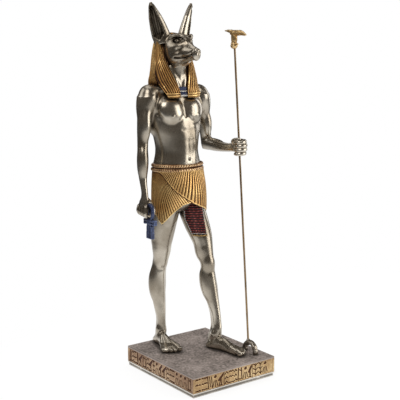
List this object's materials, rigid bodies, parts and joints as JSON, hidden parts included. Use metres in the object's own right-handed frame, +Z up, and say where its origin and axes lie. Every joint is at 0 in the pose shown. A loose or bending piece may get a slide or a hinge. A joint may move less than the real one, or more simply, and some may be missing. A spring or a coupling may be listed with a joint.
{
  "type": "jackal-headed deity figurine",
  "caption": "Standing jackal-headed deity with a striped headcloth, pleated kilt, looped cross and long staff, on a rectangular plinth with a band of incised strokes.",
  "frame": {"origin": "centre of the plinth's underside", "axes": "+Z up, the figure faces -Y, +X is the figure's left side"},
  "size_m": [0.08, 0.0922, 0.2916],
  "materials": {
    "bronze_skin": "polished antique bronze, silvery on the high points, dark brown in the hollows",
    "gold_cloth": "antique gold with dark lines in the grooves",
    "blue_enamel": "navy blue paint with pale worn edges",
    "red_enamel": "dark maroon paint with paler ridges",
    "plinth_bronze": "pebbled dark bronze top with an antique gold band on the sides",
    "staff_bronze": "dark bronze, worn to olive gold",
    "staff_gold": "pale antique gold"
  },
  "bodies": {
    "root": {"plinth": "plinth_bronze", "figure": "bronze_skin", "staff_rod": "staff_bronze", "staff_head": "staff_gold", "staff_foot": "staff_bronze"}
  },
  "joints": []
}
